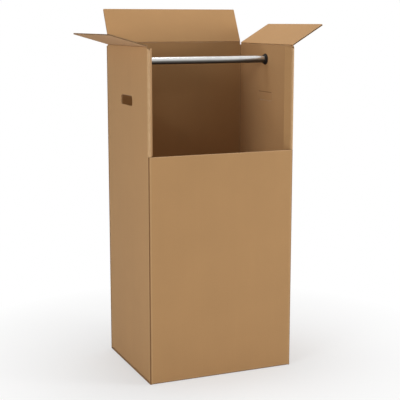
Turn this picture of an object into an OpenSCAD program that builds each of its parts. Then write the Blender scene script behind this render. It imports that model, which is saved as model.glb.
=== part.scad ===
// Tall wardrobe moving box of corrugated board, with its upper front cut away,
// three top flaps standing open, die-cut hand holes and a steel hanging bar.
// X runs along the width, Y from the front to the back, Z up from the floor.
// The origin is the middle of the base.

/* [Box] */
// Outside width of the box, along the hanging bar
box_w = 600; // [450:10:760]
// Outside depth of the box, from front to back
box_d = 480; // [380:10:640]
// Height of the side flaps' creases above the floor
box_h = 1280; // [1100:10:1500]

/* [Board] */
// Thickness of the corrugated board
board_t = 5; // [3:0.5:7]
// Radius inside a folded corner
fold_r = 1.5; // [0.5:0.5:4]
// Width of the glued lap that closes the sheet at the back left corner
glue_lap_w = 38; // [25:1:60]

/* [Front opening] */
// Height of the front panel's cut edge above the floor
sill_h = 876; // [600:1:900]
// Width of the strip of front panel left on each side of the opening
return_w = 37; // [20:1:80]
// How far each strip is folded in behind the line of the front panel
return_angle = 60; // [0:5:80]

/* [Hand holes] */
// Length of a hand hole, along the side wall
hand_hole_w = 134; // [90:1:140]
// Height of a hand hole
hand_hole_h = 35; // [30:1:50]
// Radius of a hand hole's corners
hand_hole_r = 11; // [6:1:14]
// From the side flaps' creases down to the middle of a hand hole
hand_hole_drop = 211; // [170:1:300]
// Width of the knife cut round a hand hole's tab
tab_kerf = 1; // [0.5:0.1:2]
// How far the left tab has turned, from closed to folded up inside the wall
tab_turn = 148; // [100:1:160]

/* [Top flaps] */
// Length of each top flap, from its crease to its free edge
flap_len = 148; // [100:1:185]
// Width of the slot between a flap's side edge and the corner of the box
flap_slot = 8; // [5:0.5:12]
// Angle of the back flap above the horizontal, outside the box
back_flap_rest = 63; // [5:1:100]
// Angle of the left flap above the horizontal, outside the box
left_flap_rest = 16; // [5:1:100]
// Angle of the right flap above the horizontal, outside the box
right_flap_rest = 31; // [5:1:100]

/* [Bottom flaps] */
// Length of the two bottom flaps folded in from the sides
inner_flap_len = 216; // [120:1:220]
// Width of the seam where the two outer bottom flaps meet
seam_gap = 2; // [1:0.5:5]
// How far the seam lies behind the middle of the base
seam_shift = 6; // [2:1:15]

/* [Hanging bar] */
// Outside diameter of the tube
bar_dia = 28; // [20:1:34]
// Wall of the tube
bar_wall = 1.2; // [0.8:0.1:2]
// From the side flaps' creases down to the bar's axis
bar_drop = 62; // [45:1:100]
// Depth of a bar socket, from the wall to its mouth
socket_depth = 9; // [7:0.5:20]
// Wall round a socket's bore
socket_wall = 4; // [2:0.5:6]
// Width of the flange round the foot of a socket
socket_rim = 4; // [3:0.5:8]

/* [Hidden] */

$fn = 64;

kraft = "#b08a60";
steel = "#c4c6c9";
black_plastic = "#2b2a29";

// Gaps at the flaps' creases and between boards that lie on each other
crease_gap = 0.3;
layer_gap = 0.3;
flap_layer_gap = 0.6;
flap_end_gap = 1.5;

half_w = box_w / 2;
half_d = box_d / 2;
mid_board = board_t / 2;
fold_out = board_t + fold_r;
fold_step = 10;

// The back flap closes over the side flaps, so its hinge line is a board higher
side_axis_z = box_h;
back_axis_z = side_axis_z + board_t + flap_layer_gap;
side_top_z = side_axis_z - board_t - crease_gap;
back_top_z = back_axis_z - board_t - crease_gap;
lip_h = 3;
wall_top_z = side_top_z - lip_h;
flap_corner_r = 3;
side_flap_w = box_d - flap_slot - board_t - flap_end_gap;
side_flap_y = -half_d + flap_slot + side_flap_w / 2;
back_flap_w = box_w - 2 * flap_slot;

// Heights and gaps in the folded bottom
wall_stub = 2;
inner_flap_z = board_t + layer_gap;
ring_z = inner_flap_z + fold_out + wall_stub;
corner_foot = 1;
corner_clear = 2;
lap_clear = 1;
outer_flap_inset = 1;

// Knife cut under the front strips, and the rounded foot of the front slots
knife_cut = 1;
slot_round = 9;

hand_hole_z = box_h - hand_hole_drop;
hand_hole_top = hand_hole_z + hand_hole_h / 2;
tab_hinge_w = hand_hole_w - 2 * hand_hole_r;
tab_size = [hand_hole_h - tab_kerf, hand_hole_w - 2 * tab_kerf];
tab_stub = 1;
tab_crease_r = 1;
tab_past = 0.3;

bar_z = box_h - bar_drop;
bar_fit = 0.3;
bar_float = 1;
flange_t = 2;
socket_floor = 2;
socket_lead = 1.5;
bore_r = bar_dia / 2 + bar_fit;
socket_r = bore_r + socket_wall;
bar_len = box_w - 2 * (board_t + socket_floor + bar_float);

// Reach of the cutting shapes past the faces that they cut
past = 1;

// Unit vector to the left of a heading
function left_of(heading) = [-sin(heading), cos(heading)];

// Points along a board seen on edge, at a depth under its outer face: straight
// runs with folds to the left between them, from the end of the first run on
function face_line(runs, folds, depth, from = [0, 0], heading = 0, i = 0) =
    let (to = from + runs[i] * [cos(heading), sin(heading)])
    i == len(folds) ? [to + depth * left_of(heading)]
    : let (
        centre = to + fold_out * left_of(heading),
        next = heading + folds[i],
        steps = ceil(folds[i] / fold_step),
        arc = [for (k = [0:steps])
            centre - (fold_out - depth) * left_of(heading + folds[i] * k / steps)]
    ) concat(arc,
        face_line(runs, folds, depth, centre - fold_out * left_of(next), next, i + 1));

// Board seen on edge, its outer face from the origin along X
module board_run(runs, folds) {
    outer = face_line(runs, folds, 0);
    inner = face_line(runs, folds, board_t);
    polygon(concat([[0, 0]], outer,
        [for (i = [len(inner) - 1:-1:0]) inner[i]], [[0, board_t]]));
}

// Puts what follows a fold at the origin where the folded board goes on
module after_fold(angle) {
    translate([0, fold_out]) rotate(angle) translate([0, -fold_out]) children();
}

module rounded_rect(size, r) {
    square([size.x - 2 * r, size.y], center = true);
    square([size.x, size.y - 2 * r], center = true);
    for (x = [-1, 1], y = [-1, 1])
        translate([x * (size.x / 2 - r), y * (size.y / 2 - r)]) circle(r = r);
}

// Stands a drawing up: X of the drawing runs along Y, and the board's face along X
module on_side_wall(thickness) {
    rotate([90, 0, 90]) linear_extrude(thickness) children();
}

// Where the sheet starts: the free end of the lap, inside the back wall
module from_lap() {
    translate([-half_w + fold_out + glue_lap_w, half_d - board_t]) rotate(180) children();
}

// Where the left wall turns round the front corner
module from_front_corner() {
    translate([-half_w, -half_d + fold_out + wall_stub]) rotate(-90) children();
}

// Plan of lap and left wall, and of back and right wall
module side_and_back_plan() {
    side_run = box_d - 2 * fold_out - wall_stub;
    from_lap() board_run([glue_lap_w, side_run - board_t], [90]);
    mirror([1, 0]) translate([half_w, half_d]) rotate(180)
        board_run([box_w - fold_out, side_run], [90]);
}

// Plan of the front panel with its two corners
module front_plan() {
    from_front_corner() board_run([wall_stub, box_w - 2 * fold_out, wall_stub], [90, 90]);
}

// Plan of the strips that are folded in at the sides of the opening
module strip_plan() {
    for (flip = [0, 1]) mirror([flip, 0])
        from_front_corner() board_run([wall_stub, return_w - fold_out], [90 + return_angle]);
}

module walls() {
    translate([0, 0, ring_z]) linear_extrude(wall_top_z - ring_z) side_and_back_plan();
    translate([0, 0, ring_z]) linear_extrude(sill_h - ring_z) front_plan();
    translate([0, 0, sill_h + knife_cut]) linear_extrude(wall_top_z - sill_h - knife_cut)
        strip_plan();
    translate([0, half_d - mid_board, wall_top_z])
        wall_lip(back_flap_w, back_top_z - wall_top_z);
    for (side = [-1, 1])
        translate([side * (half_w - mid_board), side_flap_y, wall_top_z])
            rotate(90) wall_lip(side_flap_w, lip_h);
}

// Top edge of a wall under its flap, along X, rounded towards the crease
module wall_lip(length, height) {
    rotate([90, 0, 90]) linear_extrude(length, center = true) {
        translate([-mid_board, 0]) square([board_t, height]);
        translate([0, height]) circle(r = mid_board);
    }
}

// Half of the outer bottom layer: flap, fold and the foot of the front wall
module outer_bottom_flap(length) {
    plate = length - corner_clear;
    rotate([90, 0, -90]) linear_extrude(box_w - 2 * fold_out, center = true)
        board_run([length, ring_z - fold_out], [90]);
    translate([-half_w + outer_flap_inset, -plate, 0])
        cube([box_w - 2 * outer_flap_inset, plate, board_t]);
}

// Inner bottom flap folded in from a side wall, y_from and y_to its side edges
module inner_bottom_flap(y_from, y_to) {
    length = inner_flap_len - fold_out;
    translate([-half_w + inner_flap_len, y_from, inner_flap_z]) rotate([90, 0, 180])
        linear_extrude(y_to - y_from) board_run([length, wall_stub], [90]);
}

// The upright folds carried down to the floor between the bottom folds
module corner_posts() {
    deep = fold_out + board_t;
    translate([0, 0, corner_foot]) linear_extrude(ring_z - corner_foot) intersection() {
        union() {
            side_and_back_plan();
            front_plan();
        }
        union() {
            for (x = [-half_w, half_w - fold_out]) translate([x, -half_d]) square(fold_out);
            translate([half_w - fold_out, half_d - fold_out]) square(fold_out);
            translate([-half_w, half_d - deep]) square([fold_out - lap_clear, deep]);
            translate([-half_w, half_d - board_t]) square([fold_out, board_t]);
        }
    }
}

module bottom() {
    translate([0, seam_shift, 0]) outer_bottom_flap(half_d + seam_shift - fold_out);
    mirror([0, 1, 0]) translate([0, -seam_shift - seam_gap, 0])
        outer_bottom_flap(half_d - seam_shift - seam_gap - fold_out);
    inner_bottom_flap(-half_d + fold_out, half_d - board_t - fold_out);
    mirror([1, 0, 0]) inner_bottom_flap(-half_d + fold_out, half_d - fold_out);
    corner_posts();
}

// Left tab, pushed in and folded up inside the wall round its crease
module left_tab() {
    translate([-half_w, 0, hand_hole_top + fold_out + tab_stub]) rotate([90, 90, 0])
        intersection() {
            linear_extrude(tab_size.y, center = true)
                board_run([tab_stub, tab_size.x + past], [tab_turn]);
            translate([tab_stub, 0]) after_fold(tab_turn) {
                translate([tab_size.x / 2, -tab_past, 0]) rotate([-90, 0, 0])
                    linear_extrude(board_t + 2 * tab_past) rounded_rect(tab_size, hand_hole_r);
                translate([-2 * fold_out, -past, -tab_hinge_w / 2])
                    cube([2 * fold_out + tab_size.x / 2, 3 * fold_out, tab_hinge_w]);
            }
        }
}

// Left hand hole, with room above it for the tab's fold
module left_hand_hole() {
    fold_room = tab_hinge_w + 2 * tab_kerf;
    translate([-half_w - past, 0, hand_hole_z]) on_side_wall(board_t + 2 * past) {
        rounded_rect([hand_hole_w, hand_hole_h], hand_hole_r);
        translate([-fold_room / 2, 0])
            square([fold_room, hand_hole_h / 2 + fold_out + tab_stub]);
    }
}

// Knife cut round the right tab, which is still closed, and its pressed crease
module right_tab_cut() {
    translate([half_w - board_t - past, 0, hand_hole_z]) on_side_wall(board_t + 2 * past)
        difference() {
            rounded_rect([hand_hole_w, hand_hole_h], hand_hole_r);
            rounded_rect([hand_hole_w - 2 * tab_kerf, hand_hole_h - 2 * tab_kerf],
                hand_hole_r - tab_kerf);
            translate([-tab_hinge_w / 2, 0]) square([tab_hinge_w, hand_hole_h]);
        }
    translate([half_w, 0, hand_hole_top]) rotate([90, 0, 0])
        cylinder(r = tab_crease_r, h = tab_hinge_w, center = true);
}

// Rounded foot of the slots at the two front corners
module front_slot_round() {
    translate([-half_w - past, -half_d, wall_top_z - slot_round]) on_side_wall(box_w + 2 * past)
        difference() {
            translate([-past, 0]) square([slot_round + past, slot_round + past]);
            translate([slot_round, 0]) circle(r = slot_round);
        }
}

module box_body() {
    color(kraft) {
        difference() {
            union() {
                walls();
                bottom();
            }
            left_hand_hole();
            right_tab_cut();
            front_slot_round();
        }
        left_tab();
    }
}

// Upright top flap with its hinge line on the X axis
module top_flap(width) {
    r = flap_corner_r;
    color(kraft) {
        rotate([0, 90, 0]) cylinder(r = mid_board, h = width, center = true);
        translate([0, mid_board, 0]) rotate([90, 0, 0]) linear_extrude(board_t) {
            translate([-width / 2, 0]) square([width, flap_len - r]);
            translate([-width / 2 + r, 0]) square([width - 2 * r, flap_len]);
            for (x = [-width / 2 + r, width / 2 - r])
                translate([x, flap_len - r]) circle(r = r);
        }
    }
}

module back_flap() {
    translate([0, half_d - mid_board, back_axis_z])
        rotate([back_flap_rest - 90, 0, 0]) top_flap(back_flap_w);
}

module side_flap(side, rest_angle) {
    translate([side * (half_w - mid_board), side_flap_y, side_axis_z])
        rotate([0, side * (90 - rest_angle), 0]) rotate(90) top_flap(side_flap_w);
}

module left_flap() {
    side_flap(-1, left_flap_rest);
}

module right_flap() {
    side_flap(1, right_flap_rest);
}

module hanging_bar() {
    color(steel) translate([0, 0, bar_z]) rotate([0, 90, 0]) difference() {
        cylinder(d = bar_dia, h = bar_len, center = true);
        cylinder(d = bar_dia - 2 * bar_wall, h = bar_len + 2 * past, center = true);
    }
}

// Flanged cup that a bar's end sits in, its foot on the wall at X = 0
module bar_socket() {
    foot_r = socket_r + socket_rim;
    rotate([0, 90, 0]) rotate_extrude() polygon([
        [0, 0], [foot_r, 0], [foot_r, flange_t], [socket_r, flange_t],
        [socket_r, socket_depth], [bore_r + socket_lead, socket_depth],
        [bore_r, socket_depth - socket_lead], [bore_r, socket_floor], [0, socket_floor]]);
}

module left_bar_socket() {
    color(black_plastic) translate([-half_w + board_t, 0, bar_z]) bar_socket();
}

module right_bar_socket() {
    color(black_plastic) translate([half_w - board_t, 0, bar_z]) mirror([1, 0, 0]) bar_socket();
}

box_body();
back_flap();
left_flap();
right_flap();
hanging_bar();
left_bar_socket();
right_bar_socket();
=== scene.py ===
"""Looks of a tall corrugated wardrobe box with open top flaps and a steel hanging bar."""

import logging
import math
from dataclasses import dataclass
from enum import Enum

import bmesh
import bpy
from mathutils import Matrix, Vector


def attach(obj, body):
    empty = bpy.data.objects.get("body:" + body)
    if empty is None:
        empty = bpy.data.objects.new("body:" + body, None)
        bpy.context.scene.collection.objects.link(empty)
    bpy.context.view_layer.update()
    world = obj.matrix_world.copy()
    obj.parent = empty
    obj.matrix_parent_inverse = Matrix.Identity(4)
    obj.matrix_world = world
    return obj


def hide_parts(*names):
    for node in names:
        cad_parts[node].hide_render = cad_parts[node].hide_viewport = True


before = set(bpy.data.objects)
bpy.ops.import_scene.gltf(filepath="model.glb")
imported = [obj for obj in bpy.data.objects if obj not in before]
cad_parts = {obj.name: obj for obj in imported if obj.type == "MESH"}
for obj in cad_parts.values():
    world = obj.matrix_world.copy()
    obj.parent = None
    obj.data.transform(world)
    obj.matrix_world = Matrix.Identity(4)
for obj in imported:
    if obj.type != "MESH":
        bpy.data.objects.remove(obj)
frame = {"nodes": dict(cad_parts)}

log = logging.getLogger("wardrobe_box")

# Sheets, in metres: how near counts as on a line, and a place past every edge.
SNAP = 2e-6
FAR = 9.0
# Faces that meet at a wider turn than this show a sharp edge.
SHARP_TURN = math.radians(60)
# Painted marks of a crease: how strong the painted highlight on its shoulders is, beside painted
# shade or on a highlit and worn crease, and the painted highlight and wear in a highlit crease's
# middle.
SHOULDER_HIGHLIGHT = 0.5
WORN_SHOULDER_HIGHLIGHT = 0.2
WORN_MIDDLE_HIGHLIGHT = 0.8

# Kinds of value that a shader's sockets take.
Colour = tuple[float, float, float]
Place = tuple[float, float, float]
Socket = bpy.types.NodeSocket
Value = Socket | float
Tint = Socket | Colour
Filling = Socket | float | tuple[float, ...]


class Heading(Enum):
    """The way in which a flat sheet runs on past a crease."""

    RIGHT = "right"
    LEFT = "left"
    DOWN = "down"

    @property
    def way(self) -> int:
        """Sign of the way along X or Z."""
        return 1 if self is Heading.RIGHT else -1


class Face(Enum):
    """The kinds of face that a corrugated board shows, in material order."""

    LINER = 0
    CUT_EDGE = 1
    FLUTING = 2


def linear(red: int, green: int, blue: int) -> Colour:
    """Turns a colour in screen values from 0 to 255 into linear light.

    Args:
        red: Red as shown on a screen.
        green: Green as shown on a screen.
        blue: Blue as shown on a screen.

    Returns:
        The colour in linear light, as a shader takes it.
    """
    def channel(value: int) -> float:
        """Linear light of one screen value."""
        share = value / 255
        return share / 12.92 if share <= 0.04045 else ((share + 0.055) / 1.055) ** 2.4

    return channel(red), channel(green), channel(blue)


class Shader:
    """Node tree of one material, built a node at a time."""

    def __init__(self, name: str) -> None:
        """Starts an empty tree with its output.

        Args:
            name: Name of the material.
        """
        self.material = bpy.data.materials.new(name)
        self.material.use_nodes = True
        self.tree = self.material.node_tree
        self.tree.nodes.clear()
        self.output = self.tree.nodes.new("ShaderNodeOutputMaterial")

    def node(self, kind: str, inputs: dict[str | int, Filling] | None = None,
             **settings: str) -> bpy.types.Node:
        """Adds a node and fills its sockets.

        Args:
            kind: Identifier of the node type.
            inputs: Values or source sockets, by socket name or number.
            settings: Properties of the node itself.

        Returns:
            The new node.
        """
        made = self.tree.nodes.new(kind)
        for key, value in settings.items():
            setattr(made, key, value)
        for key, value in (inputs or {}).items():
            self.feed(made.inputs[key], value)
        return made

    def feed(self, socket: Socket, value: Filling) -> None:
        """Links a socket to a source, or sets it.

        Args:
            socket: The input to fill.
            value: A source socket, a number or a tuple.
        """
        if isinstance(value, Socket):
            self.tree.links.new(value, socket)
        elif isinstance(value, tuple) and len(value) == 3 and socket.type == "RGBA":
            socket.default_value = (*value, 1.0)
        else:
            socket.default_value = value

    def math(self, operation: str, *values: Value) -> Socket:
        """Result of a Math node.

        Args:
            operation: Name of the operation.
            values: Its operands, numbers or sockets.

        Returns:
            The result socket.
        """
        made = self.node("ShaderNodeMath", dict(enumerate(values)), operation=operation)
        return made.outputs[0]

    def blend(self, factor: Value, first: Tint, second: Tint) -> Socket:
        """Result of mixing two colours.

        Args:
            factor: Share of the second colour.
            first: First colour or socket.
            second: Second colour or socket.

        Returns:
            The mixed colour.
        """
        made = self.node("ShaderNodeMix", data_type="RGBA")
        self.feed(made.inputs["Factor"], factor)
        self.feed(made.inputs[6], first)
        self.feed(made.inputs[7], second)
        return made.outputs[2]

    def lit(self, colour: Tint, light: Value) -> Socket:
        """A colour made lighter or darker.

        Args:
            colour: The colour or its socket.
            light: Factor on it.

        Returns:
            The colour times the factor.
        """
        made = self.node("ShaderNodeVectorMath", {0: colour, "Scale": light}, operation="SCALE")
        return made.outputs["Vector"]

    def spread(self, value: Socket, low: float, high: float, to_low: float,
               to_high: float) -> Socket:
        """Maps a range of a value to another, clamped at both ends.

        Args:
            value: Socket to map.
            low: Start of the range in.
            high: End of the range in.
            to_low: Result at the start.
            to_high: Result at the end.

        Returns:
            The mapped value.
        """
        made = self.node("ShaderNodeMapRange", {
            "Value": value, "From Min": low, "From Max": high,
            "To Min": to_low, "To Max": to_high})
        return made.outputs["Result"]

    def stretched(self, vector: Socket, scale: Place) -> Socket:
        """Coordinates stretched along the axes.

        Args:
            vector: Socket with the coordinates.
            scale: Factor along each axis.

        Returns:
            The stretched coordinates.
        """
        return self.node("ShaderNodeMapping", {"Vector": vector, "Scale": scale}).outputs["Vector"]

    def noise(self, vector: Socket, scale: float, detail: float = 2.0,
              roughness: float = 0.5) -> Socket:
        """Value of a noise at some coordinates.

        Args:
            vector: Socket with the coordinates.
            scale: Scale of the noise, per unit of the coordinates.
            detail: Number of octaves.
            roughness: Weight of the finer octaves.

        Returns:
            The noise, around 0.5.
        """
        made = self.node("ShaderNodeTexNoise", {
            "Vector": vector, "Scale": scale, "Detail": detail, "Roughness": roughness})
        return made.outputs["Fac"]

    def surface(self, colour: Tint, roughness: Value, height: Value, distance: float,
                **inputs: Value) -> bpy.types.Material:
        """Links a surface with a relief to the output.

        Args:
            colour: Base colour.
            roughness: Roughness.
            height: Height of the relief, from 0 to 1.
            distance: What a height of 1 measures.
            inputs: More sockets of the surface, with underscores for spaces.

        Returns:
            The finished material.
        """
        bump = self.node("ShaderNodeBump", {"Height": height, "Distance": distance})
        sockets = {key.replace("_", " "): value for key, value in inputs.items()}
        made = self.node("ShaderNodeBsdfPrincipled", {
            "Base Color": colour, "Roughness": roughness,
            "Normal": bump.outputs["Normal"], **sockets})
        self.tree.links.new(made.outputs["BSDF"], self.output.inputs["Surface"])
        return self.material


@dataclass(frozen=True)
class KraftLiner:
    """Brown kraft paper over flutes: fibres, mottling, flute lines with painted ripple shade, and
    creases with painted shade, painted highlights and wear.
    """

    name: str = "kraft_liner"
    colour: Colour = linear(187, 145, 98)
    # Painted shade darkens the middle of a crease; a painted highlight, partly wear, lightens its
    # shoulders and highlit creases.
    crease_shade_colour: Colour = linear(110, 76, 46)
    highlight_and_wear_colour: Colour = linear(216, 180, 138)
    pitch: float = 0.0079
    mottling: float = 0.06
    streaks: float = 0.02
    fibre_contrast: float = 0.07
    # Painted shade of the flute ripples, as stripes in the colour.
    flute_ripple_shade: float = 0.006
    speck_contrast: float = 0.16
    cloud_scale: float = 5.0
    streak_stretch: Place = (26.0, 60.0, 1.2)
    fibre_stretch: Place = (900.0, 900.0, 260.0)
    speck_scale: float = 620.0
    patch_scale: float = 60.0
    relief: float = 0.0002

    def material(self) -> bpy.types.Material:
        """Material for a mesh with the attributes sheet and crease.

        Returns:
            The new material.
        """
        shade = Shader(self.name)
        sheet = shade.node("ShaderNodeAttribute", attribute_name="sheet").outputs["Vector"]
        crease = shade.node("ShaderNodeAttribute", attribute_name="crease").outputs["Fac"]
        across = shade.node("ShaderNodeSeparateXYZ", {0: sheet}).outputs["X"]
        cloud = shade.noise(sheet, self.cloud_scale, 5.0)
        streak = shade.noise(shade.stretched(sheet, self.streak_stretch), 1.0, 3.0)
        fibre = shade.noise(shade.stretched(sheet, self.fibre_stretch), 1.0, 3.0, 0.7)
        wave = shade.math("SINE", shade.math("MULTIPLY", across, math.tau / self.pitch))
        # Painted shade: the flute wave lightens and darkens the colour in stripes, as ripples would
        # in glancing light.
        light = shade.math("ADD", 1.0, shade.math("MULTIPLY", wave, self.flute_ripple_shade))
        for value, weight in ((cloud, self.mottling), (streak, self.streaks),
                              (fibre, self.fibre_contrast)):
            swing = shade.math("MULTIPLY", shade.math("SUBTRACT", value, 0.5), 2.0 * weight)
            light = shade.math("ADD", light, swing)
        speck = shade.spread(shade.noise(sheet, self.speck_scale, 1.0), 0.66, 0.74, 0.0,
                             self.speck_contrast)
        light = shade.math("SUBTRACT", light, speck)
        # Painted shade: the middle of each crease is darkened towards the crease shade colour.
        shaded_crease = shade.blend(shade.spread(crease, 0.3, 1.0, 0.0, 0.95), self.colour,
                              self.crease_shade_colour)
        # Painted highlight, partly wear: shoulders and highlit creases are lightened in patches.
        patchy = shade.spread(shade.noise(sheet, self.patch_scale, 3.0), 0.35, 0.6, 0.7, 1.0)
        highlight_and_wear_mask = shade.math("MULTIPLY", patchy, shade.spread(crease, 0.0, -1.0, 0.0, 0.8))
        highlit_and_worn = shade.blend(highlight_and_wear_mask, shaded_crease, self.highlight_and_wear_colour)
        height = shade.math("ADD", shade.math("MULTIPLY", wave, 0.12),
                            shade.math("MULTIPLY", fibre, 0.7))
        return shade.surface(shade.lit(highlit_and_worn, light), shade.spread(fibre, 0.2, 0.8, 0.78, 0.92),
                             height, self.relief, Specular_IOR_Level=0.25, Sheen_Weight=0.06)


@dataclass(frozen=True)
class RawPaper:
    """Fuzzy torn or cut paper, without the sheet's smooth face."""

    name: str
    colour: Colour
    fuzz: float
    fibre_scale: float = 900.0
    roughness: float = 0.95
    relief: float = 0.0003

    def material(self) -> bpy.types.Material:
        """Material that follows the piece's own coordinates.

        Returns:
            The new material.
        """
        shade = Shader(self.name)
        place = shade.node("ShaderNodeTexCoord").outputs["Object"]
        fibre = shade.noise(place, self.fibre_scale, 3.0, 0.7)
        light = shade.spread(fibre, 0.2, 0.8, 1.0 - self.fuzz, 1.0 + self.fuzz)
        return shade.surface(shade.lit(self.colour, light), self.roughness, fibre, self.relief,
                             Specular_IOR_Level=0.15)


@dataclass(frozen=True)
class ZincTube:
    """Zinc-plated steel tube along X, painted lighter on top and darker below as light and shade,
    and smoother on top.
    """

    height: float
    radius: float
    name: str = "zinc_tube"
    # Painted light and shade: colour of the lit top and of the shaded underside, and the heights
    # between which it changes.
    lit_top_colour: Colour = linear(214, 214, 212)
    shaded_underside_colour: Colour = linear(92, 90, 86)
    lit_top_from: float = -0.2
    lit_top_to: float = 0.35
    polish: float = 0.14
    drawn_stretch: Place = (3.0, 900.0, 900.0)
    wander_stretch: Place = (5.0, 20.0, 20.0)
    cloud_scale: float = 30.0
    relief: float = 0.00003

    def material(self) -> bpy.types.Material:
        """Material for a tube whose axis lies along X at the given height.

        Returns:
            The new material.
        """
        shade = Shader(self.name)
        place = shade.node("ShaderNodeTexCoord").outputs["Object"]
        up = shade.node("ShaderNodeSeparateXYZ", {0: place}).outputs["Z"]
        rise = shade.math("DIVIDE", shade.math("SUBTRACT", up, self.height), self.radius)
        drawn = shade.noise(shade.stretched(place, self.drawn_stretch), 1.0, 3.0, 0.6)
        cloud = shade.noise(place, self.cloud_scale, 3.0)
        light = shade.spread(cloud, 0.3, 0.7, 0.92, 1.04)
        wander = shade.noise(shade.stretched(place, self.wander_stretch), 1.0, 2.0)
        edge = shade.math("ADD", rise, shade.spread(wander, 0.3, 0.7, -0.06, 0.06))
        # Painted light and shade: the top is painted light and the underside dark; the same mask
        # makes the top smoother.
        highlit_and_worn = shade.spread(edge, self.lit_top_from, self.lit_top_to, 0.0, 1.0)
        colour = shade.blend(highlit_and_worn, self.shaded_underside_colour, self.lit_top_colour)
        roughness = shade.math("SUBTRACT", shade.spread(drawn, 0.25, 0.75, 0.34, 0.48),
                               shade.math("MULTIPLY", highlit_and_worn, self.polish))
        return shade.surface(shade.lit(colour, light), roughness, drawn, self.relief,
                             Metallic=1.0)


@dataclass(frozen=True)
class SocketPlastic:
    """Matt black moulded plastic with a fine spark texture."""

    name: str = "socket_plastic_black"
    colour: Colour = linear(34, 32, 30)
    grain_scale: float = 1500.0
    cloud_scale: float = 60.0
    roughness: float = 0.6
    relief: float = 0.0001

    def material(self) -> bpy.types.Material:
        """Material for the moulded sockets.

        Returns:
            The new material.
        """
        shade = Shader(self.name)
        place = shade.node("ShaderNodeTexCoord").outputs["Object"]
        grain = shade.noise(place, self.grain_scale, 2.0)
        light = shade.spread(shade.noise(place, self.cloud_scale, 2.0), 0.3, 0.7, 0.85, 1.2)
        return shade.surface(shade.lit(self.colour, light), self.roughness, grain, self.relief,
                             Specular_IOR_Level=0.25)


@dataclass(frozen=True)
class Outline:
    """Rectangle on the flat sheet, its corners round where it has a radius."""

    left: float
    right: float
    low: float
    high: float
    radius: float = 0.0
    steps: int = 6

    @classmethod
    def about(cls, centre: tuple[float, float], size: tuple[float, float],
              radius: float = 0.0) -> "Outline":
        """Outline round a middle point.

        Args:
            centre: X and Z of the middle.
            size: Width and height.
            radius: Radius of the corners.

        Returns:
            The outline.
        """
        (x, z), (width, height) = centre, size
        return cls(x - width / 2, x + width / 2, z - height / 2, z + height / 2, radius)

    def mirrored(self) -> "Outline":
        """The same outline on the other side of the sheet's middle."""
        return Outline(-self.right, -self.left, self.low, self.high, self.radius, self.steps)

    def grown(self, margin: float) -> "Outline":
        """The outline moved outwards all round."""
        return Outline(self.left - margin, self.right + margin, self.low - margin,
                       self.high + margin, self.radius + margin if self.radius else 0.0)

    def holds(self, point: Vector, slack: float = SNAP) -> bool:
        """Tells whether a point of the sheet lies inside.

        Args:
            point: The point, of which X and Z count.
            slack: How far outside it still counts as inside.

        Returns:
            True if it does.
        """
        r = self.radius
        x = max(self.left + r - point.x, point.x - self.right + r, 0.0)
        z = max(self.low + r - point.z, point.z - self.high + r, 0.0)
        return math.hypot(x, z) <= r + slack

    def sides(self) -> list[tuple[Vector, Vector]]:
        """Lines that bound the outline, its round corners in short steps.

        Returns:
            A point on each line with the direction inwards.
        """
        made = [(Vector((self.left, 0, 0)), Vector((1, 0, 0))),
                (Vector((self.right, 0, 0)), Vector((-1, 0, 0))),
                (Vector((0, 0, self.low)), Vector((0, 0, 1))),
                (Vector((0, 0, self.high)), Vector((0, 0, -1)))]
        if not self.radius:
            return made
        for x, way in ((self.left + self.radius, -1), (self.right - self.radius, 1)):
            for z, up in ((self.low + self.radius, -1), (self.high - self.radius, 1)):
                for step in range(1, self.steps):
                    turn = math.pi / 2 * step / self.steps
                    out = Vector((way * math.cos(turn), 0, up * math.sin(turn)))
                    made.append((Vector((x, 0, z)) + out * self.radius, -out))
        return made


@dataclass(frozen=True)
class Cut:
    """Outlines that the die cuts out of a sheet, without what the spared ones hold."""

    gone: tuple[Outline, ...]
    spared: tuple[Outline, ...] = ()

    def takes(self, point: Vector) -> bool:
        """Tells whether a point of the sheet is cut out."""
        return (any(o.holds(point, 0.0) for o in self.gone)
                and not any(o.holds(point, 0.0) for o in self.spared))


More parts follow.
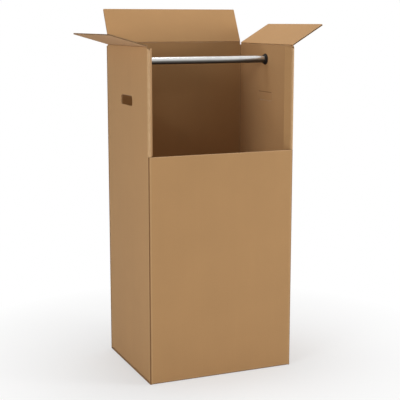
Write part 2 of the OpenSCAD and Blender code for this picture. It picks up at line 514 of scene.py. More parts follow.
@dataclass(frozen=True)
class Fold:
    """One crease of a flat sheet and the turn that it takes.

    What lies in the outlines of reach takes a share of the turn: none before the
    crease, all of it past the crease. What lies in carried moves with the far side,
    and what lies in still stays, whatever its place. A crease's middle is painted
    dark as shade and its shoulders light as a highlight, or, where it is highlit and
    worn, it is painted light all over as a highlight and wear.
    """

    at: float
    heading: Heading
    degrees: float
    width: float
    reach: tuple[Outline, ...]
    carried: tuple[Outline, ...] = ()
    still: tuple[Outline, ...] = ()
    steps: int = 6
    shoulder: float = 0.0
    # Painted highlight and wear over the whole crease, in place of painted shade.
    highlit_and_worn: bool = False

    @property
    def axis(self) -> int:
        """Index of the coordinate across the crease."""
        return 2 if self.heading is Heading.DOWN else 0

    def lines(self) -> list[float]:
        """Places across the crease where the board bends or a shoulder ends.

        Returns:
            The places, in order.
        """
        across = [self.width * step / self.steps for step in range(self.steps + 1)]
        if self.shoulder:
            across = [-self.shoulder, *across, self.width + self.shoulder]
        return sorted(self.at + self.heading.way * past for past in across)

    def past(self, point: Vector) -> float:
        """Distance of a point past the start of the crease."""
        return (point[self.axis] - self.at) * self.heading.way

    def share(self, point: Vector) -> float:
        """Share of the turn that a point takes.

        Args:
            point: Point of the flat sheet.

        Returns:
            The share, from 0 to 1.
        """
        if any(o.holds(point) for o in self.carried):
            return 1.0
        past = self.past(point)
        if past <= 0 or any(o.holds(point) for o in self.still):
            return 0.0
        return min(past / self.width, 1.0) if any(o.holds(point) for o in self.reach) else 0.0

    def bends(self, point: Vector) -> bool:
        """Tells whether the crease runs past a point, however far across it.

        Args:
            point: Point of the flat sheet.

        Returns:
            True if it does.
        """
        spot = point.copy()
        spot[self.axis] = self.at + self.heading.way * self.width / 2
        return (any(o.holds(spot) for o in self.reach)
                and not any(o.holds(spot) for o in (*self.carried, *self.still)))

    def shows(self, point: Vector) -> bool:
        """Tells whether a point lies on the crease or its shoulders."""
        return (-self.shoulder < self.past(point) < self.width + self.shoulder
                and self.bends(point))

    def tint(self, point: Vector) -> float:
        """Painted shade and highlight of the crease at a point on it or its shoulders.

        Args:
            point: Point of the flat sheet.

        Returns:
            Up to 1 where painted shade darkens the crease, down to -1 where a painted highlight with
            wear lightens it.
        """
        past = self.past(point)
        beyond = max(-past, past - self.width, 0.0)
        light = WORN_SHOULDER_HIGHLIGHT if self.highlit_and_worn else SHOULDER_HIGHLIGHT
        if not self.shoulder:
            light = 0.0
        if beyond:
            return -light * max(1.0 - beyond / self.shoulder, 0.0) if self.shoulder else 0.0
        # Middle of the crease: painted shade, or painted highlight and wear on a highlit and worn
        # crease.
        middle = 4 * past / self.width * (1 - past / self.width)
        return -light - middle * WORN_MIDDLE_HIGHLIGHT if self.highlit_and_worn else middle * (1 + light) - light

    def matrix(self, share: float, radius: float) -> Matrix:
        """Movement of the points that take this share of the turn.

        Args:
            share: Share of the turn, from 0 to 1.
            radius: Distance from the outer face to the centre of the bend.

        Returns:
            The movement in the flat sheet's frame.
        """
        if not self.degrees:
            return Matrix.Identity(4)
        turn, back = math.radians(self.degrees) * share, self.width * share
        if self.heading is Heading.DOWN:
            centre, axis, step = Vector((0, radius, self.at)), "X", Vector((0, 0, back))
        else:
            centre, axis = Vector((self.at, radius, 0)), "Z"
            step = Vector((-self.heading.way * back, 0, 0))
            turn *= self.heading.way
        there = Matrix.Translation(centre)
        return (there @ Matrix.Rotation(turn, 4, axis) @ there.inverted()
                @ Matrix.Translation(step))


@dataclass(frozen=True)
class Board:
    """Make-up of the corrugated board, in metres."""

    thickness: float = 0.005
    liner: float = 0.0005
    medium: float = 0.00035
    pitch: float = 0.0079
    wave_steps: int = 8
    wave_start: float = math.pi / 8
    crushed: float = 0.5
    fold_radius: float = 0.0015

    @property
    def bend(self) -> float:
        """Distance from the outer face to the centre of a bend."""
        return self.thickness + self.fold_radius

    def crease_width(self, degrees: float) -> float:
        """Width of board that a fold takes up at mid thickness."""
        return math.radians(degrees) * (self.fold_radius + self.thickness / 2)


@dataclass(frozen=True)
class RidgeSize:
    """Sizes of the thin paper ridge that closes the light gap at a flap's crease."""

    inward: float = 0.00033
    width: float = 0.0002
    height: float = 0.00054


@dataclass(frozen=True)
class BoardFinish:
    """Materials of a corrugated board, in the order of its kinds of face."""

    liner: bpy.types.Material
    cut_edge: bpy.types.Material
    fluting: bpy.types.Material

    @classmethod
    def kraft(cls, pitch: float) -> "BoardFinish":
        """Brown kraft board.

        Args:
            pitch: Pitch of the flutes.

        Returns:
            The finish, with its three materials made.
        """
        return cls(KraftLiner(pitch=pitch).material(),
                   RawPaper("cut_liner_edge", linear(212, 178, 138), 0.16).material(),
                   RawPaper("fluting_paper", linear(172, 136, 98), 0.14).material())


class Sheet:
    """Flat sheet of corrugated board that is die-cut, creased and then folded.

    X runs across the flutes, Z along them, and Y is the depth below the outer face.
    """

    def __init__(self, board: Board, extent: Outline) -> None:
        """Starts an empty sheet.

        Args:
            board: Make-up of the board.
            extent: Rectangle that the sheet is cut from.
        """
        self.board = board
        self.extent = extent
        self.cuts: list[Cut] = []
        self.folds: list[Fold] = []
        self.moves: list[dict[float, list[bmesh.types.BMVert]]] = []
        self.mesh = bmesh.new()

    def press(self) -> None:
        """Makes the two liners and the medium between them, flat, cut and creased."""
        board = self.board
        self.ply(0.0, board.liner, False)
        self.ply((board.thickness - board.medium) / 2, board.medium, True)
        self.ply(board.thickness - board.liner, board.liner, False)

    def ply(self, depth: float, thickness: float, waved: bool) -> None:
        """Makes one layer of the board.

        Args:
            depth: Depth of the layer's outer side.
            thickness: Thickness of the layer.
            waved: True for the fluted medium.
        """
        wide, tall = self.extent.right - self.extent.left, self.extent.high - self.extent.low
        columns = round(wide / self.board.pitch * self.board.wave_steps) if waved else 1
        layer = bmesh.new()
        bmesh.ops.create_grid(layer, x_segments=columns, y_segments=1, size=0.5)
        middle = Vector((self.extent.left + wide / 2, depth, self.extent.low + tall / 2))
        place = (Matrix.Translation(middle) @ Matrix.Diagonal((wide, 1, tall, 1))
                 @ Matrix.Rotation(math.pi / 2, 4, "X"))
        bmesh.ops.transform(layer, matrix=place, verts=layer.verts)
        for cut in self.cuts:
            self.die_cut(layer, cut)
        for fold in self.folds:
            self.score(layer, fold)
        if waved:
            self.flute(layer)
        outer = list(layer.faces)
        copied = bmesh.ops.extrude_face_region(layer, geom=outer, use_keep_orig=True)
        inner = [v for v in copied["geom"] if isinstance(v, bmesh.types.BMVert)]
        bmesh.ops.translate(layer, vec=(0, thickness, 0), verts=inner)
        bmesh.ops.recalc_face_normals(layer, faces=layer.faces)
        for face in layer.faces:
            edge = Face.CUT_EDGE if abs(face.normal.y) < 0.5 else Face.LINER
            face.material_index = (Face.FLUTING if waved else edge).value
        self.take(layer)

    def take(self, layer: bmesh.types.BMesh) -> None:
        """Adds a mesh to the sheet and frees it.

        Args:
            layer: The mesh.
        """
        joined = bpy.data.meshes.new("layer")
        layer.to_mesh(joined)
        layer.free()
        self.mesh.from_mesh(joined)
        bpy.data.meshes.remove(joined)

    @staticmethod
    def saw(layer: bmesh.types.BMesh, faces: list[bmesh.types.BMFace], on: Vector,
            normal: Vector) -> list[bmesh.types.BMFace]:
        """Cuts faces along a plane.

        Args:
            layer: Mesh of the faces.
            faces: What to cut.
            on: A point on the plane.
            normal: The plane's normal.

        Returns:
            The faces on both sides of the cut.
        """
        if not faces:
            return []
        parts = {e for f in faces for e in f.edges} | {v for f in faces for v in f.verts}
        result = bmesh.ops.bisect_plane(layer, geom=[*faces, *parts], plane_co=on,
                                        plane_no=normal, dist=SNAP)
        return [f for f in result["geom"] if isinstance(f, bmesh.types.BMFace)]

    @classmethod
    def split(cls, layer: bmesh.types.BMesh, outline: Outline) -> None:
        """Cuts a flat layer along an outline.

        Args:
            layer: Mesh to cut.
            outline: Outline to cut along.
        """
        inside = list(layer.faces)
        for on, inward in outline.sides():
            whole, crossed = [], []
            for face in inside:
                reach = [(v.co - on).dot(inward) for v in face.verts]
                if max(reach) > SNAP:
                    (crossed if min(reach) < -SNAP else whole).append(face)
            halves = cls.saw(layer, crossed, on, inward)
            inside = whole + [f for f in halves if (f.calc_center_median() - on).dot(inward) > 0]

    @classmethod
    def die_cut(cls, layer: bmesh.types.BMesh, cut: Cut) -> None:
        """Cuts outlines out of a layer.

        Args:
            layer: Mesh to cut.
            cut: What to take out and what to spare.
        """
        for outline in (*cut.spared, *cut.gone):
            cls.split(layer, outline)
        gone = [f for f in layer.faces if cut.takes(f.calc_center_median())]
        bmesh.ops.delete(layer, geom=gone, context="FACES")

    @classmethod
    def score(cls, layer: bmesh.types.BMesh, fold: Fold) -> None:
        """Adds the lines at which a layer bends in a fold.

        Args:
            layer: Mesh to score.
            fold: The fold.
        """
        axis, lines = fold.axis, fold.lines()
        normal = Vector((0, 0, 0))
        normal[axis] = 1.0
        near = []
        for face in layer.faces:
            spots = [v.co[axis] for v in face.verts]
            if (min(spots) < lines[-1] and max(spots) > lines[0]
                    and fold.bends(face.calc_center_median())):
                near.append(face)
        for line in lines:
            crossed = {f for f in near if min(v.co[axis] for v in f.verts) < line - SNAP
                       and max(v.co[axis] for v in f.verts) > line + SNAP}
            halves = cls.saw(layer, list(crossed), normal * line, normal)
            near = [f for f in near if f not in crossed] + halves

    def flute(self, layer: bmesh.types.BMesh) -> None:
        """Bends the flat medium into waves, crushed at the creases along the flutes.

        Args:
            layer: Mesh of the medium.
        """
        board = self.board
        swing = (board.thickness - 2 * board.liner - board.medium) / 2
        along = [fold for fold in self.folds if fold.heading is not Heading.DOWN]
        for vert in layer.verts:
            crushed = any(0 < fold.share(vert.co) < 1 for fold in along)
            phase = math.tau * (vert.co.x - self.extent.left) / board.pitch + board.wave_start
            vert.co.y += swing * math.sin(phase) * (board.crushed if crushed else 1.0)

    def ridge(self, left: float, right: float, height: float,
              size: RidgeSize = RidgeSize()) -> None:
        """Adds the thin ridge of paper on a rounded top edge, just clear of the flap.

        Args:
            left: Start of the ridge.
            right: End of the ridge.
            height: Height of the rounded edge's axis.
            size: Sizes of the ridge.
        """
        half = self.board.thickness / 2
        layer = bmesh.new()
        place = (Matrix.Translation(((left + right) / 2, half + size.inward, height + half))
                 @ Matrix.Diagonal((right - left, size.width, size.height, 1)))
        bmesh.ops.create_cube(layer, size=1.0, matrix=place)
        self.take(layer)

    def roll(self, left: float, right: float, height: float, segments: int = 20) -> None:
        """Adds the rounded roll of board at a crease along X.

        Args:
            left: Start of the roll.
            right: End of the roll.
            height: Height of its axis.
            segments: Sides round it.
        """
        half = self.board.thickness / 2
        layer = bmesh.new()
        place = (Matrix.Translation(((left + right) / 2, half, height))
                 @ Matrix.Rotation(math.pi / 2, 4, "Y"))
        bmesh.ops.create_cone(layer, cap_ends=True, segments=segments, radius1=half,
                              radius2=half, depth=right - left, matrix=place)
        for face in layer.faces:
            face.material_index = (Face.FLUTING if len(face.verts) > 4 else Face.LINER).value
        self.take(layer)

    def mark(self) -> None:
        """Notes on each point its place on the flat sheet, and on creased faces the crease's painted
        shade and highlight.
        """
        sheet = self.mesh.verts.layers.float_vector.new("sheet")
        crease = self.mesh.loops.layers.float.new("crease")
        self.moves = [{} for _ in self.folds]
        for vert in self.mesh.verts:
            vert[sheet] = vert.co
            for fold, moved in zip(self.folds, self.moves):
                share = round(fold.share(vert.co), 5)
                if share:
                    moved.setdefault(share, []).append(vert)
        for face in self.mesh.faces:
            middle = face.calc_center_median()
            for fold in [f for f in self.folds if f.shows(middle)]:
                for loop in face.loops:
                    loop[crease] = max(loop[crease], fold.tint(loop.vert.co), key=abs)

    def bend(self) -> None:
        """Makes the folds in their order, the outermost first."""
        for fold, moved in zip(self.folds, self.moves):
            for share, verts in moved.items():
                bmesh.ops.transform(self.mesh, matrix=fold.matrix(share, self.board.bend),
                                    verts=verts)

    def place(self, name: str, matrix: Matrix) -> bpy.types.Object:
        """Makes the finished piece.

        Args:
            name: Name of the piece.
            matrix: From the sheet's frame to the box's.

        Returns:
            The new object, at the origin.
        """
        bmesh.ops.transform(self.mesh, matrix=matrix, verts=self.mesh.verts)
        for edge in self.mesh.edges:
            edge.smooth = edge.is_manifold and edge.calc_face_angle() < SHARP_TURN
        for face in self.mesh.faces:
            face.smooth = True
        data = bpy.data.meshes.new(name)
        self.mesh.to_mesh(data)
        self.mesh.free()
        piece = bpy.data.objects.new(name, data)
        bpy.context.scene.collection.objects.link(piece)
        weighted = piece.modifiers.new("flat_faces_first", "WEIGHTED_NORMAL")
        weighted.keep_sharp = True
        weighted.weight = 100
        return piece


@dataclass(frozen=True)
class BoxSize:
    """Main sizes of the folded box, in metres."""

    width: float = 0.600
    depth: float = 0.480
    side_axis: float = 1.280
    back_axis: float = 1.2856
    wall_top: float = 1.2717
    side_lip: float = 1.2747
    back_lip: float = 1.2803
    lip_foot: float = 1.0
    side_lip_front: float = -0.232
    back_lip_inset: float = 0.008
    post_round: float = 0.009
    sill: float = 0.876
    knife: float = 0.001
    # Width of the sill's band of painted highlight and wear.
    sill_highlight_band: float = 0.0025
    sill_shoulder: float = 0.001
    corner_shoulder: float = 0.005
    strip: float = 0.037
    strip_turn: float = 150.0
    strip_steps: int = 10
    strip_shoulder: float = 0.002
    lap: float = 0.038
    slit: float = 0.0003
    foot: float = 0.001


@dataclass(frozen=True)
class BottomSize:
    """Sizes of the four folded bottom flaps, in metres."""

    outer_fold: float = 0.0065
    inner_fold: float = 0.0118
    front_length: float = 0.2395
    back_length: float = 0.2255
    inner_length: float = 0.2095
    outer_inset: float = 0.001
    corner_clear: float = 0.002
    stem_low: float = -0.01
    shoulder: float = 0.003
    slack: float = 0.0002
    lap_foot: float = 0.014


@dataclass(frozen=True)
class HandHoleSize:
    """Sizes of a hand hole and its tab, in metres."""

    width: float = 0.134
    height: float = 0.035
    radius: float = 0.011
    middle: float = 1.069
    kerf: float = 0.001
    stub: float = 0.001
    # Width of the closed tab's crease line, which only shows painted shade.
    shaded_crease: float = 0.004
    slack: float = 0.0004
    tab_turn: float = 148.0

    @property
    def top(self) -> float:
        """Height of the hole's upper edge."""
        return self.middle + self.height / 2

    @property
    def hinge(self) -> float:
        """Width of the tab's crease."""
        return self.width - 2 * self.radius


class BoardPart:
    """Part of the box that is one sheet of corrugated board."""

    def build(self) -> bpy.types.Object:
        """Makes the part's piece, with its materials still to come."""
        raise NotImplementedError

    def dress(self, piece: bpy.types.Object, finish: BoardFinish) -> None:
        """Gives the materials to the part's piece."""
        for material in (finish.liner, finish.cut_edge, finish.fluting):
            piece.data.materials.append(material)


class BoxBody(BoardPart):
    """Walls, bottom, folded strips and hand holes: one sheet of corrugated board."""

    def __init__(self, board: Board, size: BoxSize, bottom: BottomSize,
                 hole: HandHoleSize) -> None:
        """Works out where the creases lie on the flat sheet.

        Args:
            board: Make-up of the board.
            size: Main sizes.
            bottom: Sizes of the bottom flaps.
            hole: Sizes of the hand holes.
        """
        self.board, self.size, self.bottom, self.hole = board, size, bottom, hole
        self.crease = board.crease_width(90)
        self.corner = size.width / 2 - board.bend
        self.side = self.corner + self.crease
        self.side_end = self.side + size.depth - 2 * board.bend
        self.back = self.side_end + self.crease
        self.back_end = self.back + size.width - board.bend
        self.left_end = self.side_end - board.thickness
        self.lap_end = self.left_end + self.crease + size.lap

    def on_side(self, y: float) -> float:
        """Place on the flat sheet of a point of the right wall."""
        return self.side + y + self.size.depth / 2 - self.board.bend

    def on_back(self, x: float) -> float:
        """Place on the flat sheet of a point of the back wall."""
        return self.back + self.corner - x

    def build(self) -> bpy.types.Object:
        """Cuts, creases and folds the sheet.

        Returns:
            The finished piece, with its materials still to come.
        """
        low = self.bottom.outer_fold - self.crease - self.bottom.front_length
        sheet = Sheet(self.board, Outline(-self.lap_end, self.back_end, low, self.size.back_lip))
        sheet.cuts = [*self.top_cuts(), *self.bottom_cuts(), *self.hand_hole_cuts()]
        sheet.folds = [*self.bottom_folds(), *self.tab_folds(), *self.wall_folds()]
        sheet.press()
        for lip in self.lips():
            sheet.roll(*lip)
            sheet.ridge(*lip)
        sheet.mark()
        sheet.bend()
        place = Matrix.Translation((0, -self.size.depth / 2, 0))
        piece = sheet.place("corrugated_body", place)
        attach(piece, "box")
        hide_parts("box_body")
        return piece

    def lips(self) -> list[tuple[float, float, float]]:
        """Top edges under the three flaps.

        Returns:
            Start, end and height of each on the flat sheet.
        """
        start = self.on_side(self.size.side_lip_front)
        half_back = self.size.width / 2 - self.size.back_lip_inset
        return [(start, self.side_end, self.size.side_lip),
                (-self.left_end, -start, self.size.side_lip),
                (self.on_back(half_back), self.on_back(-half_back), self.size.back_lip)]

    def top_cuts(self) -> list[Cut]:
        """Cuts of the front opening, its strips and the top edges.

        Returns:
            The cuts.
        """
        size = self.size
        inner = self.side - self.board.crease_width(size.strip_turn) - (size.strip - self.board.bend)
        lips = tuple(Outline(left, right, size.lip_foot, top)
                     for left, right, top in self.lips())
        top, deep = size.wall_top, size.post_round
        nose = Outline.about((self.corner, top - deep / 2), (2 * deep, deep))
        cheeks = [Outline(self.corner, self.corner + 2 * deep, top - 2 * deep, top, deep),
                  Outline(self.corner - 2 * deep, self.corner, top - 2 * deep, top, deep)]
        return [Cut((Outline(-FAR, FAR, top, FAR),), lips),
                Cut((Outline(-inner, inner, size.sill, FAR),
                     Outline(-self.side, self.side, size.sill, size.sill + size.knife))),
                Cut((nose, nose.mirrored()), (*cheeks, *(c.mirrored() for c in cheeks)))]

    def plates(self) -> dict[str, Outline]:
        """Bottom flaps on the flat sheet, past their clearance at the corners.

        Returns:
            Outline of each flap, by the name of its wall.
        """
        size, bottom = self.size, self.bottom
        half = size.width / 2 - bottom.outer_inset
        outer_top = bottom.outer_fold - self.crease - bottom.corner_clear
        outer_low = bottom.outer_fold - self.crease
        inner_low = bottom.inner_fold - self.crease - bottom.inner_length
        return {
            "front": Outline(-half, half, outer_low - bottom.front_length, outer_top),
            "back": Outline(self.on_back(half), self.on_back(-half),
                            outer_low - bottom.back_length, outer_top),
            "right": Outline(self.side + size.slit, self.side_end - size.slit,
                             inner_low, bottom.inner_fold),
            "left": Outline(-self.left_end + size.slit, -self.side - size.slit,
                            inner_low, bottom.inner_fold)}

    def stems(self) -> dict[str, Outline]:
        """Creased part of the outer bottom flaps, between the corners.

        Returns:
            Outline of each, by the name of its wall.
        """
        low, high = self.bottom.stem_low, self.bottom.outer_fold
        half = self.corner - self.size.slit
        return {"front": Outline(-half, half, low, high),
                "back": Outline(self.on_back(half), self.on_back(-half), low, high)}

    def bottom_cuts(self) -> list[Cut]:
        """Cuts that set the bottom flaps free of each other.

        Returns:
            The cuts.
        """
        size, bottom = self.size, self.bottom
        plates, stems = self.plates(), self.stems()
        low, last = bottom.stem_low, self.on_back(-self.corner)
        slits = [Outline(self.corner - size.slit, self.corner, low, bottom.outer_fold),
                 Outline(self.side, self.side + size.slit, -FAR, bottom.inner_fold)]
        slits += [s.mirrored() for s in slits]
        slits += [
            Outline(self.side_end - size.slit, self.side_end, low, bottom.inner_fold),
            Outline(-self.left_end, -self.left_end + size.slit, low, bottom.inner_fold),
            Outline(self.back, self.back + size.slit, low, bottom.outer_fold),
            Outline(last - size.slit, last, low, bottom.outer_fold),
            Outline(-FAR, -self.left_end - self.crease / 2, -FAR, bottom.lap_foot)]
        kept = (*plates.values(), *stems.values())
        return [Cut((Outline(-FAR, FAR, -FAR, size.foot),), kept), Cut(tuple(slits))]

    def hole_at(self, side: int) -> tuple[float, float]:
        """Middle of a hand hole on the flat sheet, side is -1 for the left wall."""
        return side * self.on_side(0.0), self.hole.middle

    def left_tab(self) -> tuple[Outline, Outline]:
        """The tab that is pushed in.

        Returns:
            Its outline and that of its crease.
        """
        hole, (x, z) = self.hole, self.hole_at(-1)
        tab = Outline.about((x, z + hole.kerf / 2), (hole.width - 2 * hole.kerf,
                                                     hole.height - hole.kerf), hole.radius)
        top = hole.top + self.board.bend + hole.stub
        return tab, Outline(x - hole.hinge / 2, x + hole.hinge / 2, z, top)

    def right_tab(self) -> tuple[Outline, Outline]:
        """The tab that is still closed.

        Returns:
            Its outline and that of its crease.
        """
        hole, (x, z) = self.hole, self.hole_at(1)
        tab = Outline.about((x, z), (hole.width - 2 * hole.kerf, hole.height - 2 * hole.kerf),
                            hole.radius - hole.kerf)
        return tab, Outline(x - hole.hinge / 2, x + hole.hinge / 2, z, hole.top)

    def hand_hole_cuts(self) -> list[Cut]:
        """Knife cuts round the two tabs.

        Returns:
            The cuts.
        """
        hole = self.hole
        size = (hole.width, hole.height)
        tab, hinge = self.left_tab()
        room = Outline(hinge.left - hole.kerf, hinge.right + hole.kerf, hinge.low, hinge.high)
        return [Cut((Outline.about(self.hole_at(-1), size, hole.radius), room), (tab, hinge)),
                Cut((Outline.about(self.hole_at(1), size, hole.radius),), self.right_tab())]

    def bottom_folds(self) -> list[Fold]:
        """Folds of the four bottom flaps.

        Returns:
            The folds of the two outer flaps, then of the two inner ones.
        """
        plates, stems, bottom = self.plates(), self.stems(), self.bottom
        outer = [Fold(bottom.outer_fold, Heading.DOWN, 90, self.crease,
                      (plates[wall].grown(bottom.slack), stems[wall]), shoulder=bottom.shoulder)
                 for wall in ("front", "back")]
        inner = [Fold(bottom.inner_fold, Heading.DOWN, 90, self.crease, (plates[wall],))
                 for wall in ("right", "left")]
        return outer + inner

    def tab_folds(self) -> list[Fold]:
        """Folds of the hand holes' tabs.

        Returns:
            The fold of the left tab and the line of the right one, which doesn't bend and only shows
            painted shade.
        """
        hole, half = self.hole, self.hole.shaded_crease / 2
        tab, hinge = self.left_tab()
        closed = self.right_tab()[1]
        reach = Outline(closed.left, closed.right, hole.top - half, hole.top + half)
        return [Fold(hole.top + self.board.bend, Heading.DOWN, hole.tab_turn, self.board.bend,
                     (tab.grown(hole.slack), hinge)),
                Fold(hole.top + half, Heading.DOWN, 0, hole.shaded_crease, (reach,))]

    def wall_folds(self) -> list[Fold]:
        """Folds of the strips and of the four upright corners.

        Returns:
            The folds, outermost first.
        """
        size, crease, shoulder = self.size, self.crease, self.size.corner_shoulder
        right_strip = Outline(0.0, self.side, size.sill + size.knife / 2, FAR)
        left_strip = right_strip.mirrored()
        sill = Outline(-self.corner, self.corner, size.sill - size.sill_highlight_band, size.sill)
        front, back = (self.plates()[wall].grown(self.bottom.slack) for wall in ("front", "back"))
        # The strips' creases are painted light, as a highlight and wear, not dark.
        strips = [
            Fold(at, heading, size.strip_turn, self.board.crease_width(size.strip_turn), (strip,),
                 steps=size.strip_steps, shoulder=size.strip_shoulder, highlit_and_worn=True)
            for at, heading, strip in ((self.side, Heading.LEFT, right_strip),
                                       (-self.side, Heading.RIGHT, left_strip))]
        # Sill edge: no turn, only a band of painted highlight and wear.
        edge = Fold(size.sill, Heading.DOWN, 0, size.sill_highlight_band, (sill,), steps=2,
                    shoulder=size.sill_shoulder, highlit_and_worn=True)
        corners = [
            Fold(at, heading, 90, crease, (past,), carried, still, shoulder=shoulder)
            for at, heading, past, carried, still in (
                (-self.left_end, Heading.LEFT, Outline(-FAR, -self.left_end, -FAR, FAR), (), ()),
                (-self.corner, Heading.LEFT, Outline(-FAR, -self.corner, -FAR, FAR),
                 (left_strip,), (front,)),
                (self.side_end, Heading.RIGHT, Outline(self.side_end, FAR, -FAR, FAR),
                 (back,), ()),
                (self.corner, Heading.RIGHT, Outline(self.corner, FAR, -FAR, FAR),
                 (right_strip,), (front,)))]
        return [*strips, edge, *corners]


@dataclass(frozen=True)
class FlapSize:
    """Sizes of the three top flaps in metres, and how far they stand open in degrees."""

    length: float = 0.148
    corner: float = 0.003
    back_width: float = 0.584
    side_width: float = 0.4655
    side_middle: float = 0.00075
    back_open: float = 63.0
    left_open: float = 16.0
    right_open: float = 31.0


@dataclass(frozen=True)
class FlapPlace:
    """Where a top flap hangs and how far it is open."""

    node: str
    width: float
    axis: Place
    facing: float
    above_level: float

    def matrix(self, board: Board) -> Matrix:
        """From the flap's flat sheet to the box.

        Args:
            board: Make-up of the board.

        Returns:
            The placement, with the sheet's low edge on the hinge line.
        """
        turn = Matrix.Rotation(math.radians(self.facing), 4, "Z")
        lean = Matrix.Rotation(math.radians(90 - self.above_level), 4, "X")
        return (Matrix.Translation(self.axis) @ turn @ lean
                @ Matrix.Translation((0, -board.thickness / 2, 0)))


@dataclass(frozen=True)
class TopFlap(BoardPart):
    """One of the three top flaps: a die-cut board with a rounded root."""

    board: Board
    size: FlapSize
    place: FlapPlace

    @classmethod
    def all_three(cls, board: Board, box: BoxSize, size: FlapSize) -> list["TopFlap"]:
        """The flaps of the back wall and of both side walls.

        Args:
            board: Make-up of the board.
            box: Main sizes of the box.
            size: Sizes of the flaps.

        Returns:
            The three flaps, still to be built.
        """
        side_x = (box.width - board.thickness) / 2
        back_y = (box.depth - board.thickness) / 2
        return [cls(board, size, place) for place in (
            FlapPlace("back_flap", size.back_width, (0.0, back_y, box.back_axis),
                      180, size.back_open),
            FlapPlace("left_flap", size.side_width, (-side_x, size.side_middle, box.side_axis),
                      -90, size.left_open),
            FlapPlace("right_flap", size.side_width, (side_x, size.side_middle, box.side_axis),
                      90, size.right_open))]

    def build(self) -> bpy.types.Object:
        """Cuts the flap and hangs it at its crease.

        Returns:
            The finished piece, with its materials still to come.
        """
        half, length = self.place.width / 2, self.size.length
        sheet = Sheet(self.board, Outline(-half, half, 0.0, length))
        sheet.cuts = [Cut((Outline(-FAR, FAR, -FAR, FAR),),
                          (Outline(-half, half, -length, length, self.size.corner),))]
        sheet.press()
        sheet.roll(-half, half, 0.0)
        sheet.mark()
        name = self.place.node
        piece = sheet.place(f"corrugated_{name}", self.place.matrix(self.board))
        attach(piece, name)
        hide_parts(name)
        return piece


@dataclass(frozen=True)
class HangingBar:
    """Tube and sockets, whose shape is the CAD model's own."""

    tube: str = "hanging_bar"
    sockets: tuple[str, ...] = ("left_bar_socket", "right_bar_socket")

    def dress(self, nodes: dict[str, bpy.types.Object]) -> None:
        """Gives the tube and the sockets their materials.

        Args:
            nodes: The CAD model's nodes, by name.
        """
        heights = [corner[2] for corner in nodes[self.tube].bound_box]
        zinc = ZincTube((max(heights) + min(heights)) / 2, (max(heights) - min(heights)) / 2)
        steel, plastic = zinc.material(), SocketPlastic().material()
        for name in (self.tube, *self.sockets):
            node = nodes[name]
            material, slot = ((steel, "bar_steel") if name == self.tube
                              else (plastic, "socket_plastic"))
            node.data.materials.clear()
            node.data.materials.append(material)
            log.info("dressed %s", name)


def toward(azimuth: float, elevation: float) -> Vector:
    """Direction out to a place round the object.

    Args:
        azimuth: Degrees round the object, 0 in front of it and 90 at its right.
        elevation: Degrees above the horizon.

    Returns:
        Unit vector from the object to that place.
    """
    turn, rise = math.radians(azimuth), math.radians(elevation)
    return Vector((math.sin(turn) * math.cos(rise), -math.cos(turn) * math.cos(rise),
                   math.sin(rise)))


def aim(name: str, data: bpy.types.ID, back: Vector, distance: float,
        target: Place) -> bpy.types.Object:
    """Adds a camera or light that looks at a point.

    Args:
        name: Name of the object.
        data: The camera or light.
        back: Direction from the point to it.
        distance: Distance from the point.
        target: The point.

    Returns:
        The new object.
    """
    made = bpy.data.objects.new(name, data)
    made.location = Vector(target) + back * distance
    made.rotation_mode = "QUATERNION"
    made.rotation_quaternion = (-back).to_track_quat("-Z", "Y")
    bpy.context.scene.collection.objects.link(made)
    return made


@dataclass(frozen=True)
class PhotoCamera:
    """Camera that sees the object from the side that the photo shows."""

    azimuth: float = -22.95
    elevation: float = 10.09
    distance: float = 4.040
    target: Place = (0.007, 0.0, 0.658)
    lens: float = 90.0
    sensor: float = 36.0
    nearest: float = 0.05
    furthest: float = 100.0

    def build(self) -> bpy.types.Object:
        """Adds the camera and makes it the scene's.

        Returns:
            The camera.
        """
        data = bpy.data.cameras.new("photo_camera")
        data.lens = self.lens
        data.sensor_width = self.sensor
        data.clip_start, data.clip_end = self.nearest, self.furthest
        back = toward(self.azimuth, self.elevation)
        camera = aim("photo_camera", data, back, self.distance, self.target)
        bpy.context.scene.camera = camera
        return camera


@dataclass(frozen=True)
class Softbox:
    """Large round soft light that faces the object."""

    name: str
    azimuth: float
    elevation: float
    distance: float
    size: float
    power: float
    target: Place = (0.0, 0.0, 0.75)

    def build(self) -> bpy.types.Object:
        """Adds the light.

        Returns:
            The light.
        """
        data = bpy.data.lights.new(self.name, "AREA")
        data.shape = "DISK"
        data.size = self.size
        data.energy = self.power
        back = toward(self.azimuth, self.elevation)
        return aim(self.name, data, back, self.distance, self.target)


def white_rays(tree: bpy.types.NodeTree) -> Socket:
    """Finds the rays that see the backdrop as plain white: camera, mirror and glass rays.

    Args:
        tree: Node tree of the world or of a material.

    Returns:
        A socket that is 1 on those rays and 0 on the rest.
    """
    path = tree.nodes.new("ShaderNodeLightPath")
    seen = path.outputs["Is Camera Ray"]
    for ray in ("Is Glossy Ray", "Is Transmission Ray"):
        either = tree.nodes.new("ShaderNodeMath")
        either.operation = "MAXIMUM"
        tree.links.new(seen, either.inputs[0])
        tree.links.new(path.outputs[ray], either.inputs[1])
        seen = either.outputs[0]
    return seen


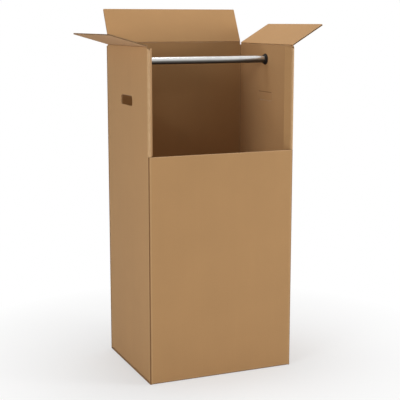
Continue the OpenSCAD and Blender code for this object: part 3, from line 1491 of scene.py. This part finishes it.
@dataclass(frozen=True)
class Studio:
    """Plain white studio: soft light all round, three softboxes and a pale floor.

    The floor is white for the camera from the far end of the fade on, and partly
    white before it, so that it keeps the object's shadow.
    """

    sky: float = 0.22
    lights: tuple[Softbox, ...] = (
        Softbox("left_softbox", -59.0, 14.0, 3.6, 1.5, 45.0),
        Softbox("right_softbox", 56.0, 14.0, 3.6, 1.3, 57.0),
        Softbox("top_softbox", 180.0, 82.0, 3.9, 2.0, 84.0))
    floor_radius: float = 40.0
    floor_sides: int = 96
    floor_drop: float = 0.0005
    floor_colour: float = 0.86
    fade: tuple[float, float] = (0.3, 1.2)
    least_white: float = 0.5

    def build(self) -> bpy.types.Object:
        """Adds the lights and the floor.

        Returns:
            The floor.
        """
        self.light_world()
        for light in self.lights:
            light.build()
        return self.lay_floor()

    def light_world(self) -> None:
        """Makes the world white where it is seen, and a plain soft light for the object."""
        world = bpy.data.worlds.new("studio_world")
        world.use_nodes = True
        tree = world.node_tree
        tree.nodes.clear()
        strength = tree.nodes.new("ShaderNodeMapRange")
        strength.inputs["To Min"].default_value = self.sky
        strength.inputs["To Max"].default_value = 1.0
        tree.links.new(white_rays(tree), strength.inputs["Value"])
        backdrop = tree.nodes.new("ShaderNodeBackground")
        backdrop.inputs["Color"].default_value = (1, 1, 1, 1)
        tree.links.new(strength.outputs["Result"], backdrop.inputs["Strength"])
        output = tree.nodes.new("ShaderNodeOutputWorld")
        tree.links.new(backdrop.outputs[0], output.inputs["Surface"])
        bpy.context.scene.world = world

    def lay_floor(self) -> bpy.types.Object:
        """Adds the pale floor that takes the shadow and fades to white far from the box.

        Returns:
            The floor.
        """
        shell = bmesh.new()
        bmesh.ops.create_circle(shell, cap_ends=True, segments=self.floor_sides,
                                radius=self.floor_radius)
        mesh = bpy.data.meshes.new("floor")
        shell.to_mesh(mesh)
        shell.free()
        floor = bpy.data.objects.new("floor", mesh)
        floor.location.z = -self.floor_drop
        bpy.context.scene.collection.objects.link(floor)
        shade = Shader("floor_paper")
        place = shade.node("ShaderNodeTexCoord").outputs["Object"]
        reach = shade.node("ShaderNodeVectorMath", {0: place}, operation="LENGTH").outputs["Value"]
        far = shade.spread(reach, *self.fade, self.least_white, 1.0)
        grey = (self.floor_colour,) * 3
        paper = shade.node("ShaderNodeBsdfDiffuse", {"Color": grey})
        white = shade.node("ShaderNodeEmission", {"Color": (1.0, 1.0, 1.0), "Strength": 1.0})
        mixed = shade.node("ShaderNodeMixShader", {
            0: shade.math("MULTIPLY", far, white_rays(shade.tree)), 1: paper.outputs[0],
            2: white.outputs[0]})
        shade.tree.links.new(mixed.outputs[0], shade.output.inputs["Surface"])
        mesh.materials.append(shade.material)
        return floor


def main() -> None:
    """Builds the scene piece by piece."""
    logging.basicConfig(level=logging.INFO, format="%(name)s: %(message)s")
    bpy.context.scene.view_settings.view_transform = "Standard"
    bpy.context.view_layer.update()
    PhotoCamera().build()
    Studio().build()
    board, size = Board(), BoxSize()
    kraft = BoardFinish.kraft(board.pitch)
    body = BoxBody(board, size, BottomSize(), HandHoleSize())
    for part in (body, *TopFlap.all_three(board, size, FlapSize())):
        piece = part.build()
        part.dress(piece, kraft)
        log.info("%s: %d faces", piece.name, len(piece.data.polygons))
    HangingBar().dress(frame["nodes"])


if __name__ == "__main__":
    main()
